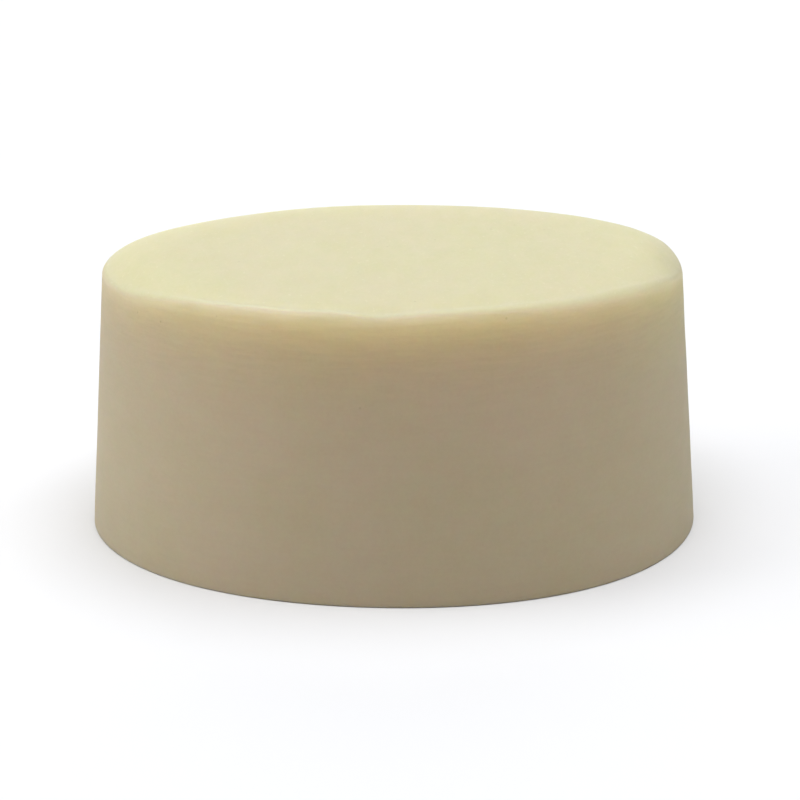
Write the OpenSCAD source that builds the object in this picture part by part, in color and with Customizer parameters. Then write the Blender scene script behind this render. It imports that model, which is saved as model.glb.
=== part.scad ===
// Shaving soap puck: a single cast disc of hard soap with tapered sides.
// It stands on its wide face. The origin is the centre of that face, and +Z
// runs up the axis of the disc.

/* [Disc] */
// Diameter of the wide resting face, measured to the sharp corner
base_d = 70; // [60:0.5:80]
// Diameter of the narrow top face, measured to the sharp corner
top_d = 66; // [56:0.5:76]
// Height from the resting face to the top face
puck_h = 31; // [20:0.5:40]

/* [Edges] */
// Radius of the rounded edge around the top face
top_edge_r = 2.2; // [0.5:0.1:5]
// Radius of the small rounded edge around the resting face
base_edge_r = 0.4; // [0.2:0.1:1.5]

/* [Look] */
// Colour of the soap
soap_colour = "#E2DCB8"; // ["#E2DCB8":cream, "#F4F0E4":white, "#CDB98A":honey]

/* [Hidden] */
// Facets on a full turn of the round surfaces
round_fn = 128;
base_r = base_d / 2;
// How far the side leans in from the vertical, which lets the puck leave its mould
draft = atan((base_d - top_d) / 2 / puck_h);

// Radius of the sharp-cornered side at height z
function side_r(z) = base_r - z * tan(draft);

// Distance from the axis to the centre of an edge circle of radius r at height z,
// so that the circle touches the side from within
function edge_centre_r(r, z) = side_r(z) - r / cos(draft);

// Point where that circle touches the side
function touch_point(r, z) = [
    edge_centre_r(r, z) + r * cos(draft),
    z + r * sin(draft)
];

// An edge circle of radius r, touching the side at its right
module edge_circle(r, z) {
    translate([edge_centre_r(r, z), z])
        circle(r = r, $fn = round_fn);
}

// Half of the puck's cross-section: the straight-sided body and its two edge circles
module half_section() {
    base_z = base_edge_r;
    top_z = puck_h - top_edge_r;
    polygon([
        [0, 0],
        [edge_centre_r(base_edge_r, base_z), 0],
        touch_point(base_edge_r, base_z),
        touch_point(top_edge_r, top_z),
        [edge_centre_r(top_edge_r, top_z), puck_h],
        [0, puck_h]
    ]);
    edge_circle(base_edge_r, base_z);
    edge_circle(top_edge_r, top_z);
}

// The whole cake of soap, which is solid all the way through
module soap_puck() {
    color(soap_colour)
        rotate_extrude($fn = round_fn)
            half_section();
}

soap_puck();
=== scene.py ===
"""Looks of the shaving soap puck: one cast disc of cream soap on a pale studio floor.

The CAD solid gives the size and the place. The piece built here stands for it and adds an
outline a little out of round, an upper edge that is crisp at the front left and worn elsewhere,
bevels and dents in that edge, uneven faces, and waxy soap.
"""

import math

import bmesh
import bpy
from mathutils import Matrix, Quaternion, Vector, noise


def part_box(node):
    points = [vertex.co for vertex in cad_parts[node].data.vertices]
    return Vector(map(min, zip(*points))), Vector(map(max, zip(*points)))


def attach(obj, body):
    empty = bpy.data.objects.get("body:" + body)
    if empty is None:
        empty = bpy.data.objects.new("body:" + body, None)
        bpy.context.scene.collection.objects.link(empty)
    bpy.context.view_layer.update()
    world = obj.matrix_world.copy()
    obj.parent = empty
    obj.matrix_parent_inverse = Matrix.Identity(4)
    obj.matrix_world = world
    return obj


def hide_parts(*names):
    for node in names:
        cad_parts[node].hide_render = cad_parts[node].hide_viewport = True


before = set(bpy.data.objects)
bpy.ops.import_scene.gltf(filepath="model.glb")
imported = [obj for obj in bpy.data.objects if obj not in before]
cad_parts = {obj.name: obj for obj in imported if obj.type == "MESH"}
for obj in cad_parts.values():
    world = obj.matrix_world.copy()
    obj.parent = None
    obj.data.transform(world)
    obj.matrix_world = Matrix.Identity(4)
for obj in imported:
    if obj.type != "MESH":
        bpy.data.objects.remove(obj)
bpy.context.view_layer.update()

MM = 0.001

# The puck's size comes from its CAD solid, and TOP_R from the CAD's two diameters in mm
NODE = "soap_puck"
low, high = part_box(NODE)
BASE_R = (high.x - low.x) / 2
HEIGHT = high.z - low.z
TOP_R = BASE_R * 66 / 70

# Rounded edges: the base's, and the upper one's where it is crisp and where it is worn
BASE_EDGE_R = 0.15 * MM
CRISP_EDGE_R = 0.25 * MM
WORN_EDGE_R = 2.0 * MM

# Where worn, the top also slopes down to the edge over this width, by this much
SHOULDER_WIDTH = 6.0 * MM
SHOULDER_DROP = 0.4 * MM

# The low lip along the crisp edge, how unevenly it runs, and the shallow groove inside it
LIP_HEIGHT = 0.08 * MM
LIP_WIDTH = 0.8 * MM
LIP_MEAN = 0.7
LIP_BREAKS = (1.2, 2.5 * MM)
GROOVE_DEPTH = 0.06 * MM
GROOVE_WIDTH = 1.6 * MM

# Directions round the puck, in degrees from +X towards +Y; the camera stands at -90.
# The edge is crisp at CRISP_AT, and fully worn once so many degrees clockwise or the other way.
CRISP_AT = -113
WORN_CLOCKWISE = 75
WORN_COUNTER = 112
# Stretches where the worn edge is a slope with a tighter edge: where, and how far either side
BEVELS = ((-163, 45), (-9, 36))
BEVEL_DROP = 0.8 * MM
BEVEL_EDGE_R = 1.0 * MM
# Dents in the rim: where, how far they spread either side, and how deep
DENTS = ((-92, 10, 0.35 * MM), (-158, 22, 0.2 * MM), (-5, 20, 0.7 * MM))

# Out-of-round lobes: how many round the puck, how high, and the direction of the first
BASE_LOBES = ((2, 0.21 * MM, -43), (3, 0.364 * MM, -54), (5, 0.143 * MM, 16))
TOP_LOBES = ((2, 0.078 * MM, 50), (3, 0.218 * MM, 35), (5, 0.129 * MM, 28))

# Stretches where the top's rim is pulled in: where, how far either side, and by how much
PULLED_IN = ((-60, 55, 0.32 * MM), (-115, 40, 0.09 * MM))

# Unevenness: height and the size of one swell. Within FADE of the base it fades out, and within
# FADE of the top it turns from outward to upward.
SWELL = (0.10 * MM, 16 * MM)
RIPPLE = (0.018 * MM, 3.5 * MM)
CHIPS = (0.08 * MM, 3.0 * MM)
FADE = 2 * MM

# Seeds of the smooth random heights
SWELL_SEED = 3.1
RIPPLE_SEED = 7.7
CHIPS_SEED = 5.3
LIP_SEED = 8.9

# Soap colours: two that the top face drifts between, two for the side, and their shades
# Top and side tones differ as painted light: greener on the lit top, pinker on the shaded side
LIT_TOP_TONES = ((0.577, 0.530, 0.336), (0.562, 0.534, 0.313))
SHADED_SIDE_TONES = ((0.608, 0.506, 0.368), (0.588, 0.502, 0.346))
# The streaks' dark colour, which also paints shade into the pits
DARK_STREAK_AND_PIT_SHADE = (0.30, 0.235, 0.12)
PALE = (0.70, 0.66, 0.50)
GREENER = (0.632, 0.572, 0.362)
PINK_TINT = (1.0, 0.972, 0.99)
GREEN_TINT = (0.976, 1.0, 0.985)

# Marks in the soap: the size of one, and how strongly it shows
DRIFT_SIZE = 13 * MM
CLOUD_SIZE, CLOUD_SHARE = 2.5 * MM, 0.11
SPECKLE_SIZE, SPECKLE_SHARE = 0.35 * MM, 0.08
DOT_SIZE, DOT_SHARE = 0.45 * MM, 0.25
TINT_SIZE = 1.5 * MM
STREAK_SIZE, STREAK_SHARE = 5 * MM, 0.085
# How strongly the painted shade in the pits shows
PIT_SPACING, PIT_SHADE_SHARE = 3 * MM, 0.3

# Marks are so many times longer from front to back; a streak is so many times flatter than long
GRAIN_DEEP = 2.6
STREAK_FLAT = 9

# The range that most of a noise's values lie in
MIDDLE = (0.3, 0.7)

# Relief that is too fine for the mesh
GRAIN_SIZE, GRAIN_DEPTH = 0.5 * MM, 0.016 * MM
STREAK_DEPTH = 0.2 * MM
PIT_DEPTH = 0.05 * MM

# Surface: roughness from place to place, reflection, and what the sheen adds to it
ROUGHNESS_SIZE = 3 * MM
ROUGHNESS = (0.52, 0.68)
SPECULAR = 0.08
SHEEN = 0.22

# How far light scatters in the soap: near the base, well above it, and by colour
SCATTER_NEAR_BASE = 1 * MM
SCATTER = 20 * MM
SCATTER_RADIUS = (0.88, 0.8, 0.47)
SOAP_IOR = 1.45

# How much light the floor shows the camera, and how much it throws back at the puck
FLOOR_SEEN = (0.855, 0.863, 0.889)
FLOOR_THROWN = (0.62, 0.61, 0.592)
# The floor's half side in metres, and its height, a hair below the puck
FLOOR_REACH = 4.0
FLOOR_Z = -0.02 * MM

# Lights: name, azimuth, elevation and width in degrees, strength and colour
WHITE = (1, 1, 1)
LIGHTS = (
    ("overhead", 0, 90, 64, 2.18, WHITE),
    ("front_high", 0, 60, 50, 0.57, WHITE),
    ("right_high", 90, 60, 50, 0.43, WHITE),
    ("back", 180, 28, 45, 0.56, WHITE),
    ("left_low", 270, 27, 45, 0.89, (1, 1, 0.965)),
)

# Camera: lens and sensor in millimetres, how far back and up it is, and its turns in radians
LENS = 107.93
SENSOR = 36
CAMERA_BACK = 269.5 * MM
CAMERA_UP = 83.83 * MM
PITCH = 0.2563
YAW = 0.0021
ROLL = -0.0102

# Mesh density: squares across each face's grid, and rings on each stretch of the outline
GRID = 104
COUNT = 4 * GRID
FACE_BAND_RINGS = 22
FACE_BAND = 6.0 * MM
BASE_EDGE_RINGS = 5
SIDE_RINGS = 64
TOP_EDGE_RINGS = 24
# The direction of each ring's first point, which is a corner of the faces' grids
FIRST_ANGLE = -45


def ease(x):
    """0 up to x = 0, 1 from x = 1, and a smooth rise between."""
    x = min(max(x, 0), 1)
    return (1 - math.cos(math.pi * x)) / 2


def bell(x, width):
    """1 at x = 0, falling smoothly to 0 at width either side."""
    return ease(1 - abs(x) / width)


def turn_between(a, b):
    """The angle from b to a, between -180 and 180 degrees."""
    return (a - b + 180) % 360 - 180


def direction(angle):
    a = math.radians(angle)
    return Vector((math.cos(a), math.sin(a), 0))


def lobes(angle, several):
    return sum(tall * math.cos(n * math.radians(angle - at)) for n, tall, at in several)


def local(angle, several):
    """Sum of local changes, each with its direction, its reach either side and its size."""
    return sum(size * bell(turn_between(angle, at), half) for at, half, size in several)


def rough(point, kind, seed):
    """Smooth random height at a point; kind gives its height and the size of a swell."""
    tall, size = kind
    return tall * noise.noise(point / size + Vector((seed, 2 * seed, 3 * seed)))


def wear(angle):
    """0 where the upper edge is crisp, rising to 1 where it is fully worn."""
    turn = turn_between(angle, CRISP_AT)
    return ease(turn / WORN_COUNTER if turn > 0 else -turn / WORN_CLOCKWISE)


def bevel(angle):
    """1 where the worn edge is a slope, and 0 where it is round."""
    return min(sum(bell(turn_between(angle, at), half) for at, half in BEVELS), 1)


def rim_drop(angle):
    """How far the rim of the top lies below the puck's full height."""
    worn = wear(angle)
    chips = rough(direction(angle) * TOP_R, CHIPS, CHIPS_SEED) * (1 - worn)
    return SHOULDER_DROP * worn + BEVEL_DROP * bevel(angle) + local(angle, DENTS) + chips


def lip(angle, inward):
    """Height of the lip and its groove at a distance in from the rim."""
    broken = LIP_MEAN + rough(direction(angle) * TOP_R, LIP_BREAKS, LIP_SEED)
    ridge = LIP_HEIGHT * broken * bell(inward, LIP_WIDTH)
    groove = GROOVE_DEPTH * bell(inward - GROOVE_WIDTH, GROOVE_WIDTH)
    return (1 - wear(angle)) * (ridge - groove)


def outline(angle):
    """Points (radius, height) from the base's rim up to the rim of the top face."""
    base_r = BASE_R + lobes(angle, BASE_LOBES)
    top_r = TOP_R + lobes(angle, TOP_LOBES) - local(angle, PULLED_IN)
    lean = math.atan2(base_r - top_r, HEIGHT)
    edge_r = CRISP_EDGE_R + (WORN_EDGE_R - CRISP_EDGE_R) * wear(angle)
    edge_r += (min(edge_r, BEVEL_EDGE_R) - edge_r) * bevel(angle)
    drop = rim_drop(angle)
    slope = math.atan(2 * drop / SHOULDER_WIDTH)

    def side_r(z):
        return base_r - z * math.tan(lean)

    points = []
    centre_r = side_r(BASE_EDGE_R) - BASE_EDGE_R / math.cos(lean)
    for k in range(BASE_EDGE_RINGS):
        a = (lean + math.pi / 2) * k / BASE_EDGE_RINGS - math.pi / 2
        points.append((centre_r + BASE_EDGE_R * math.cos(a), BASE_EDGE_R * (1 + math.sin(a))))
    edge_z = HEIGHT - drop - edge_r * math.cos(slope)
    side_low = BASE_EDGE_R * (1 + math.sin(lean))
    side_high = edge_z + edge_r * math.sin(lean)
    for k in range(SIDE_RINGS):
        z = side_low + (side_high - side_low) * k / SIDE_RINGS
        points.append((side_r(z), z))
    centre_r = side_r(edge_z) - edge_r / math.cos(lean)
    for k in range(TOP_EDGE_RINGS + 1):
        a = lean + (math.pi / 2 - slope - lean) * k / TOP_EDGE_RINGS
        points.append((centre_r + edge_r * math.cos(a), edge_z + edge_r * math.sin(a)))
    return [(r, z + lip(angle, 0) * bell(HEIGHT - z, LIP_WIDTH)) for r, z in points]


def top_height(angle, inward):
    """Height of the top face at a distance in from its rim: its shoulder, dents and lip."""
    near = max(1 - inward / SHOULDER_WIDTH, 0)
    return HEIGHT - rim_drop(angle) * near ** 2 + lip(angle, inward)


def inner_top_height(angle, inward):
    """Height of the top face at a distance in from the band of rings round it."""
    return top_height(angle, inward + FACE_BAND)


def base_height(angle, inward):
    return 0.0


def uneven(point):
    """The point moved by the puck's unevenness: outward on the side, upward on the top."""
    outward = Vector((point.x, point.y, 0)).normalized()
    to_top = min(max(1 - (HEIGHT - point.z) / FADE, 0), 1)
    to_side = 1 - to_top
    shift = rough(point, SWELL, SWELL_SEED) + rough(point, RIPPLE, RIPPLE_SEED)
    off_base = min(point.z / FADE, 1)
    return point + (outward * to_side + Vector((0, 0, to_top))) * shift * off_base


def add_ring(mesh, points):
    return [mesh.verts.new(uneven(point)) for point in points]


def add_rings(mesh, angles, outlines):
    """Rings from the base's rim up the outline, and then over the outer band of the top."""
    rings = []
    for row in range(len(outlines[0])):
        points = [direction(a) * o[row][0] + Vector((0, 0, o[row][1]))
                  for a, o in zip(angles, outlines)]
        rings.append(add_ring(mesh, points))
    rim = [o[-1][0] for o in outlines]
    for row in range(1, FACE_BAND_RINGS + 1):
        inward = FACE_BAND * row / FACE_BAND_RINGS
        points = [direction(a) * (r - inward) + Vector((0, 0, top_height(a, inward)))
                  for a, r in zip(angles, rim)]
        rings.append(add_ring(mesh, points))
    return rings


def join_rings(mesh, lower, upper):
    for j in range(COUNT):
        k = (j + 1) % COUNT
        mesh.faces.new((lower[j], lower[k], upper[k], upper[j]))


def disc_angle(i, j):
    """Direction on the disc of the square grid's point (i, j), which isn't its centre."""
    if abs(i) >= abs(j):
        return 45 * j / i + (0 if i > 0 else 180)
    return 90 - 45 * i / j + (0 if j > 0 else 180)


def fill_face(mesh, edge, radii, height_at, face_up):
    """A grid of GRID x GRID squares inside the ring, mapped from a square to the disc."""
    half = GRID // 2
    steps = range(-half, half + 1)
    grid = {}
    for i in steps:
        for j in steps:
            step = max(abs(i), abs(j))
            if step == 0:
                grid[i, j] = mesh.verts.new(uneven(Vector((0, 0, height_at(0, 0)))))
                continue
            angle = disc_angle(i, j)
            at = (angle - FIRST_ANGLE) * COUNT / 360
            if step == half:
                grid[i, j] = edge[round(at) % COUNT]
                continue
            share = step / half
            near = int(at) % COUNT
            past = at - int(at)
            r = radii[near] * (1 - past) + radii[(near + 1) % COUNT] * past
            point = direction(angle) * r * share
            point.z = height_at(angle, r * (1 - share))
            grid[i, j] = mesh.verts.new(uneven(point))
    for i in range(-half, half):
        for j in range(-half, half):
            corners = [grid[i, j], grid[i + 1, j], grid[i + 1, j + 1], grid[i, j + 1]]
            mesh.faces.new(corners if face_up else corners[::-1])


def build_puck():
    """The puck as one closed mesh: rings up the outline, and a square grid on each face."""
    mesh = bmesh.new()
    angles = [360 * j / COUNT + FIRST_ANGLE for j in range(COUNT)]
    outlines = [outline(angle) for angle in angles]
    rings = add_rings(mesh, angles, outlines)
    for lower, upper in zip(rings, rings[1:]):
        join_rings(mesh, lower, upper)
    inner_r = [o[-1][0] - FACE_BAND for o in outlines]
    base_r = [o[0][0] for o in outlines]
    fill_face(mesh, rings[-1], inner_r, inner_top_height, True)
    fill_face(mesh, rings[0], base_r, base_height, False)

    mesh.normal_update()
    data = bpy.data.meshes.new("soap_puck_cast")
    mesh.to_mesh(data)
    mesh.free()
    for face in data.polygons:
        face.use_smooth = True
    puck = bpy.data.objects.new("soap_puck_cast", data)
    bpy.context.scene.collection.objects.link(puck)
    return puck


def new_material(name):
    material = bpy.data.materials.new(name)
    material.use_nodes = True
    tree = material.node_tree
    shader = next(n for n in tree.nodes if n.type == "BSDF_PRINCIPLED")
    return material, tree, shader


class SoapNodes:
    """Makes and links a material's nodes, and knows where on the puck they are."""

    def __init__(self, tree):
        self.tree = tree
        coordinates = tree.nodes.new("ShaderNodeTexCoord")
        self.facing_up = self.axis(coordinates.outputs["Normal"], "Z")
        self.facing_back = self.axis(coordinates.outputs["Normal"], "Y")
        self.place = coordinates.outputs["Object"]
        self.height = self.axis(self.place, "Z")
        self.across = self.axis(self.place, "X")

    def give(self, socket, value):
        """Sets the socket to a number or a colour, or links another socket to it."""
        if isinstance(value, tuple):
            socket.default_value = (*value, 1)
        elif isinstance(value, (int, float)):
            socket.default_value = value
        else:
            self.tree.links.new(value, socket)

    def axis(self, vector, name):
        node = self.tree.nodes.new("ShaderNodeSeparateXYZ")
        self.tree.links.new(vector, node.inputs[0])
        return node.outputs[name]

    def clouds(self, size, detail=4, roughness=0.5, deep=GRAIN_DEEP, flat=1):
        """Noise from 0 to 1 in patches of about the given size, deep times as long from front
        to back, and flat times lower."""
        shrink = self.tree.nodes.new("ShaderNodeVectorMath")
        shrink.operation = "MULTIPLY"
        shrink.inputs[1].default_value = (1 / size, 1 / size / deep, flat / size)
        self.tree.links.new(self.place, shrink.inputs[0])
        texture = self.tree.nodes.new("ShaderNodeTexNoise")
        texture.inputs["Scale"].default_value = 1
        texture.inputs["Detail"].default_value = detail
        texture.inputs["Roughness"].default_value = roughness
        self.tree.links.new(shrink.outputs[0], texture.inputs["Vector"])
        return texture.outputs["Fac"]

    def spread(self, value, start, end, out_start, out_end):
        """The value turned smoothly from one range to another, and held at its ends."""
        node = self.tree.nodes.new("ShaderNodeMapRange")
        node.interpolation_type = "SMOOTHSTEP"
        ends = {"From Min": start, "From Max": end, "To Min": out_start, "To Max": out_end}
        for socket, number in ends.items():
            node.inputs[socket].default_value = number
        self.tree.links.new(value, node.inputs["Value"])
        return node.outputs["Result"]

    def combine(self, kind, a, b):
        node = self.tree.nodes.new("ShaderNodeMath")
        node.operation = kind
        self.give(node.inputs[0], a)
        self.give(node.inputs[1], b)
        return node.outputs[0]

    def times(self, a, b):
        return self.combine("MULTIPLY", a, b)

    def blend(self, share, a, b, kind="MIX"):
        """Colour a turned towards colour b by the share; each is a colour or a socket."""
        node = self.tree.nodes.new("ShaderNodeMix")
        node.data_type = "RGBA"
        node.blend_type = kind
        self.give(node.inputs[0], share)
        self.give(node.inputs[6], a)
        self.give(node.inputs[7], b)
        return node.outputs[2]

    def relief(self, height_map, depth, below=None):
        node = self.tree.nodes.new("ShaderNodeBump")
        node.inputs["Distance"].default_value = depth
        self.tree.links.new(height_map, node.inputs["Height"])
        if below:
            self.tree.links.new(below, node.inputs["Normal"])
        return node.outputs["Normal"]


def below_top(nodes, far, near, least):
    """least from far below the top downward, rising to 1 from near below it upward."""
    return nodes.spread(nodes.height, HEIGHT - far, HEIGHT - near, least, 1)


def ground_colour(nodes, lit_top_share):
    """The top face's drifting colour and the side's, which is greener high on the right. The
    top's greener tone is painted light and the side's pinker tone painted shade.
    """
    drift = nodes.spread(nodes.clouds(DRIFT_SIZE, 3), *MIDDLE, 0, 1)
    face = nodes.blend(drift, *LIT_TOP_TONES)
    side = nodes.blend(drift, *SHADED_SIDE_TONES)
    on_right = nodes.spread(nodes.across, 0.6 * BASE_R, 0.95 * BASE_R, 0, 1)
    greener = nodes.times(on_right, below_top(nodes, 16 * MM, 5 * MM, 0.3))
    return nodes.blend(lit_top_share, nodes.blend(greener, side, GREENER), face)


def streaks(nodes):
    """Share of the dark streaks, which run round the side under the upper edge."""
    under_edge = nodes.times(below_top(nodes, 11 * MM, 4 * MM, 0.3),
                             nodes.spread(nodes.facing_up, 0.5, 0.9, 1, 0))
    noise_map = nodes.clouds(STREAK_SIZE, 5, 0.6, 1, STREAK_FLAT)
    return nodes.times(nodes.spread(noise_map, 0.35, 0.65, 0, STREAK_SHARE), under_edge)


def pits(nodes):
    """1 in each small pit and 0 elsewhere; only a few cells have one, mostly high up."""
    cells = nodes.tree.nodes.new("ShaderNodeTexVoronoi")
    cells.inputs["Scale"].default_value = 1 / PIT_SPACING
    nodes.tree.links.new(nodes.place, cells.inputs["Vector"])
    chosen = nodes.spread(cells.outputs["Color"], 0.56, 0.58, 0, 1)
    spots = nodes.times(nodes.spread(cells.outputs["Distance"], 0.02, 0.06, 1, 0), chosen)
    return nodes.times(spots, below_top(nodes, 14 * MM, 5 * MM, 0.1))


def soap_colour(nodes, streaked, pitted):
    """The ground colour with streaks, pale clouds, speckle and dots, a faint tint, and painted
    shade in the pits.
    """
    # Share of the top's painted lit tone, which reaches down over the rounded upper edge
    lit_top_share = nodes.spread(nodes.facing_up, 0.24, 0.84, 0, 1)
    colour = nodes.blend(streaked, ground_colour(nodes, lit_top_share), DARK_STREAK_AND_PIT_SHADE)
    clouded = nodes.spread(nodes.clouds(CLOUD_SIZE, 5, 0.75), *MIDDLE, 0, CLOUD_SHARE)
    colour = nodes.blend(clouded, colour, PALE)
    speckled = nodes.spread(nodes.clouds(SPECKLE_SIZE, 2, 0.6), *MIDDLE, 0, SPECKLE_SHARE)
    colour = nodes.blend(speckled, colour, PALE)
    dots = nodes.spread(nodes.clouds(DOT_SIZE, 1), 0.66, 0.76, 0, DOT_SHARE)
    colour = nodes.blend(nodes.times(dots, lit_top_share), colour, PALE)
    tint_drift = nodes.spread(nodes.clouds(TINT_SIZE, 5, 0.7), *MIDDLE, 0, 1)
    tint = nodes.blend(tint_drift, PINK_TINT, GREEN_TINT)
    colour = nodes.blend(nodes.spread(lit_top_share, 0, 1, 1, 0.6), colour, tint, "MULTIPLY")
    # Painted shade: each pit darkened with the streaks' dark colour
    return nodes.blend(nodes.times(pitted, PIT_SHADE_SHARE), colour, DARK_STREAK_AND_PIT_SHADE)


def soap_relief(nodes, streaked, pitted):
    normal = nodes.relief(nodes.clouds(GRAIN_SIZE, 4), GRAIN_DEPTH)
    normal = nodes.relief(streaked, STREAK_DEPTH, normal)
    return nodes.relief(nodes.combine("SUBTRACT", 0, pitted), PIT_DEPTH, normal)


def soap_reflection(nodes):
    """Low reflection, with a soft sheen on the worn edge at the front right."""
    edge = nodes.times(nodes.spread(nodes.facing_up, 0.15, 0.5, 0, 1),
                       nodes.spread(nodes.facing_up, 0.9, 0.99, 1, 0))
    edge = nodes.times(edge, nodes.spread(nodes.facing_back, 0.0, 0.3, 1, 0))
    polished = nodes.times(edge, nodes.spread(nodes.across, -4 * MM, 14 * MM, 0, SHEEN))
    return nodes.combine("ADD", polished, SPECULAR)


def soap_material():
    """Waxy cream soap: light scatters inside it, and its colour drifts from place to place."""
    material, tree, shader = new_material("cast_soap")
    nodes = SoapNodes(tree)
    streaked = streaks(nodes)
    pitted = pits(nodes)
    roughness = nodes.spread(nodes.clouds(ROUGHNESS_SIZE, 4), *MIDDLE, *ROUGHNESS)
    # Light scatters less far near the base, so that little of it is lost into the floor
    scatter = nodes.spread(nodes.height, 0.5 * MM, 11 * MM, SCATTER_NEAR_BASE, SCATTER)
    tree.links.new(soap_colour(nodes, streaked, pitted), shader.inputs["Base Color"])
    tree.links.new(soap_relief(nodes, streaked, pitted), shader.inputs["Normal"])
    tree.links.new(roughness, shader.inputs["Roughness"])
    tree.links.new(soap_reflection(nodes), shader.inputs["Specular IOR Level"])
    tree.links.new(scatter, shader.inputs["Subsurface Scale"])
    shader.inputs["Subsurface Weight"].default_value = 1.0
    shader.inputs["Subsurface Radius"].default_value = SCATTER_RADIUS
    shader.inputs["IOR"].default_value = SOAP_IOR
    return material


def mix_by_camera_ray(tree, to_others, to_camera, output_type):
    """Shows the camera one shader, and gives every other ray the other."""
    path = tree.nodes.new("ShaderNodeLightPath")
    mix = tree.nodes.new("ShaderNodeMixShader")
    output = next(n for n in tree.nodes if n.type == output_type)
    tree.links.new(path.outputs["Is Camera Ray"], mix.inputs[0])
    tree.links.new(to_others.outputs[0], mix.inputs[1])
    tree.links.new(to_camera.outputs[0], mix.inputs[2])
    tree.links.new(mix.outputs[0], output.inputs["Surface"])


def floor_material():
    """White paper to the camera, but greyer to the light that it throws back at the puck."""
    material, tree, shader = new_material("studio_floor")
    tree.nodes.remove(shader)
    seen = tree.nodes.new("ShaderNodeBsdfDiffuse")
    seen.inputs["Color"].default_value = (*FLOOR_SEEN, 1)
    thrown = tree.nodes.new("ShaderNodeBsdfDiffuse")
    thrown.inputs["Color"].default_value = (*FLOOR_THROWN, 1)
    mix_by_camera_ray(tree, thrown, seen, "OUTPUT_MATERIAL")
    return material


def studio_floor():
    data = bpy.data.meshes.new("studio_floor")
    corners = [(-FLOOR_REACH, -FLOOR_REACH, FLOOR_Z), (FLOOR_REACH, -FLOOR_REACH, FLOOR_Z),
               (FLOOR_REACH, FLOOR_REACH, FLOOR_Z), (-FLOOR_REACH, FLOOR_REACH, FLOOR_Z)]
    data.from_pydata(corners, [], [(0, 1, 2, 3)])
    floor = bpy.data.objects.new("studio_floor", data)
    floor.data.materials.append(floor_material())
    bpy.context.scene.collection.objects.link(floor)


def studio_world():
    """A world that the camera sees as plain white, and that gives no light."""
    world = bpy.data.worlds.new("studio")
    world.use_nodes = True
    tree = world.node_tree
    tree.nodes.clear()
    room = tree.nodes.new("ShaderNodeBackground")
    room.inputs["Strength"].default_value = 0
    seen = tree.nodes.new("ShaderNodeBackground")
    seen.inputs["Color"].default_value = (*WHITE, 1)
    tree.nodes.new("ShaderNodeOutputWorld")
    mix_by_camera_ray(tree, room, seen, "OUTPUT_WORLD")
    bpy.context.scene.world = world


def soft_light(name, azimuth, elevation, width, strength, colour):
    """A distant softbox: azimuth as for a camera, width in degrees."""
    data = bpy.data.lights.new(name, "SUN")
    data.energy = strength
    data.angle = math.radians(width)
    data.color = colour
    light = bpy.data.objects.new(name, data)
    a, e = math.radians(azimuth), math.radians(elevation)
    towards = Vector((math.sin(a) * math.cos(e), -math.cos(a) * math.cos(e), math.sin(e)))
    light.rotation_euler = towards.to_track_quat("Z", "Y").to_euler()
    bpy.context.scene.collection.objects.link(light)


def main_camera():
    """A camera low in front of the puck, fitted to the picture's outline."""
    data = bpy.data.cameras.new("camera")
    data.lens = LENS
    data.sensor_width = SENSOR
    camera = bpy.data.objects.new("camera", data)
    camera.location = (0, -CAMERA_BACK, CAMERA_UP)
    level = math.cos(PITCH)
    forward = Vector((math.sin(YAW) * level, math.cos(YAW) * level, -math.sin(PITCH)))
    camera.rotation_mode = "QUATERNION"
    camera.rotation_quaternion = forward.to_track_quat("-Z", "Y") @ Quaternion((0, 0, 1), ROLL)
    bpy.context.scene.collection.objects.link(camera)
    bpy.context.scene.camera = camera


main_camera()
puck = build_puck()
puck.data.materials.append(soap_material())
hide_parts(NODE)
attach(puck, "root")
studio_floor()
studio_world()
for light_settings in LIGHTS:
    soft_light(*light_settings)
bpy.context.scene.view_settings.view_transform = "Standard"
